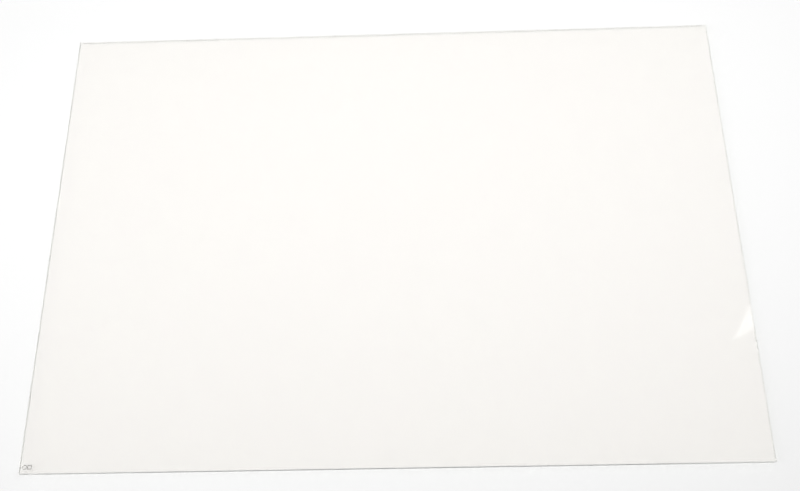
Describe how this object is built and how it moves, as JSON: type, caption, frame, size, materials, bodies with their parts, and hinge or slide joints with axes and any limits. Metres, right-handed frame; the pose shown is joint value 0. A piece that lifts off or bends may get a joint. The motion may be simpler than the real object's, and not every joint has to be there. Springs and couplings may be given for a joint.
{
  "type": "oven door inner glass",
  "caption": "Flat rectangular pane of clear toughened glass with ground, seamed edges and blunted corners, the inner window of an oven door.",
  "frame": {"origin": "middle of the lower face, on the surface that the pane lies on", "axes": "+X along the pane's width, +Y along its height towards the edge that sits under the door's top trim, +Z out of the upper face"},
  "size_m": [0.48, 0.33, 0.004],
  "materials": {
    "glass": "clear float glass with a faint warm cast, polished faces, fine ground edges"
  },
  "bodies": {
    "root": {"inner_glass": "glass"}
  },
  "joints": []
}
